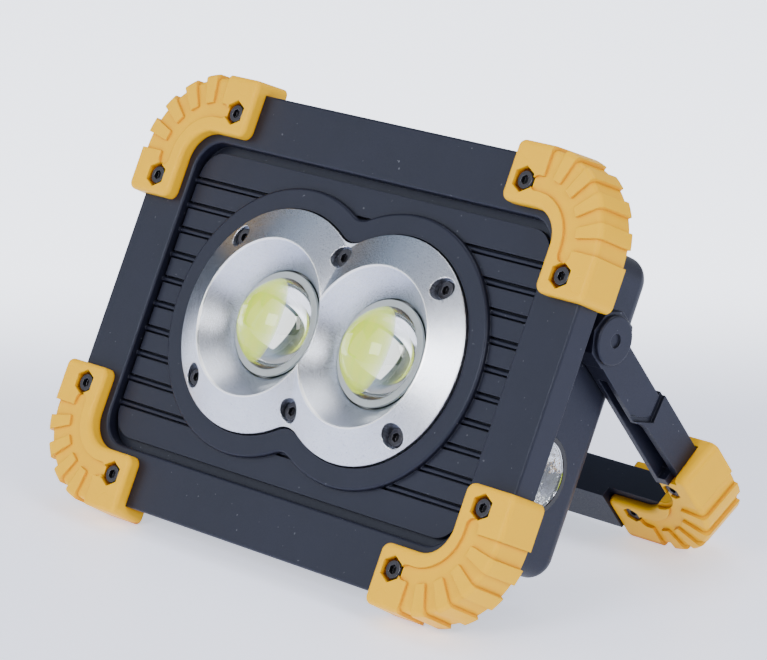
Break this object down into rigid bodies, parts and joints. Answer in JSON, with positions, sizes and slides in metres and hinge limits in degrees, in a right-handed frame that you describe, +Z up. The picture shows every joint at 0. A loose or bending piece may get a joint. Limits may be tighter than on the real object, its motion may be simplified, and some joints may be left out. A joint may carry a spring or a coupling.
{
  "type": "work light",
  "caption": "Folding rechargeable work light: ribbed frame with lensed lamps, toothed corner bumpers, side torch, battery box and a stand that doubles as a handle.",
  "frame": {"origin": "middle of the footprint on the floor, with the lamp leaning back on its open stand", "axes": "+X to the right along the lamp's width and the stand's pivot line, -Y out of the lamp's front, +Z up"},
  "size_m": [0.1848, 0.12, 0.1244],
  "materials": {
    "black_shell": "fine satin texture",
    "yellow_bumper": "satin thermoplastic rubber",
    "satin_silver": "satin",
    "raw_aluminium": "bare",
    "clear_lens": "clear",
    "phosphor": "matte",
    "black_steel": "black oxide",
    "spring_steel": "plated",
    "circuit_board": "lacquered",
    "cell_wrap": "shrink wrap",
    "light_window": "diffuse",
    "black_rubber": "matte",
    "black_gloss": "gloss",
    "chrome": "mirror"
  },
  "bodies": {
    "housing": {"front_shell": "black_shell", "back_plate": "black_shell", "rear_shell": "black_shell", "shell_gasket": "black_rubber", "shell_screws": "black_steel", "reflector_plate": "satin_silver", "plate_screws": "black_steel", "heat_sink": "raw_aluminium", "bumper_screws": "black_steel", "battery_cover": "black_shell", "battery_cover_screws": "black_steel", "battery_cell_upper": "cell_wrap", "battery_cell_lower": "cell_wrap", "battery_contacts": "spring_steel", "driver_board": "circuit_board", "usb_port": "spring_steel", "charge_port": "spring_steel", "switch_body": "black_shell", "indicator_lights": "light_window", "torch_bezel": "black_gloss", "torch_lens": "clear_lens", "torch_reflector": "chrome", "torch_led": "phosphor", "lens_left": "clear_lens", "lens_right": "clear_lens", "cob_board_left": "raw_aluminium", "cob_board_right": "raw_aluminium", "cob_phosphor_left": "phosphor", "cob_phosphor_right": "phosphor", "bumper_top_left": "yellow_bumper", "bumper_top_right": "yellow_bumper", "bumper_bottom_left": "yellow_bumper", "bumper_bottom_right": "yellow_bumper", "pivot_pin_left": "spring_steel", "pivot_pin_right": "spring_steel", "friction_washer_left": "black_rubber", "friction_washer_right": "black_rubber"},
    "stand": {"stand_arm_left": "black_shell", "stand_arm_right": "black_shell", "stand_crossbar": "black_shell", "stand_bumper_left": "yellow_bumper", "stand_bumper_right": "yellow_bumper", "stand_bumper_screws": "black_steel", "hinge_cap_left": "black_shell", "hinge_cap_right": "black_shell"},
    "power_button": {"power_button": "black_rubber"},
    "usb_flap": {"usb_flap": "black_rubber"}
  },
  "joints": [
    {"name": "stand_fold", "type": "hinge", "parent": "housing", "child": "stand", "pos_m": [0, -0.00184, 0.07499], "axis": [1, 0, 0], "range_deg": [-63.5, 116.5]},
    {"name": "power_press", "type": "slide", "parent": "housing", "child": "power_button", "axis": [0, -0.8968, 0.4425], "range_m": [0, 0.0012], "stiffness_N_per_m": 400, "springref_m": -0.0008},
    {"name": "usb_cover", "type": "hinge", "parent": "housing", "child": "usb_flap", "pos_m": [-0.06335, -0.00688, 0.03009], "axis": [0, 0.4425, 0.8968], "range_deg": [0, 110]}
  ]
}
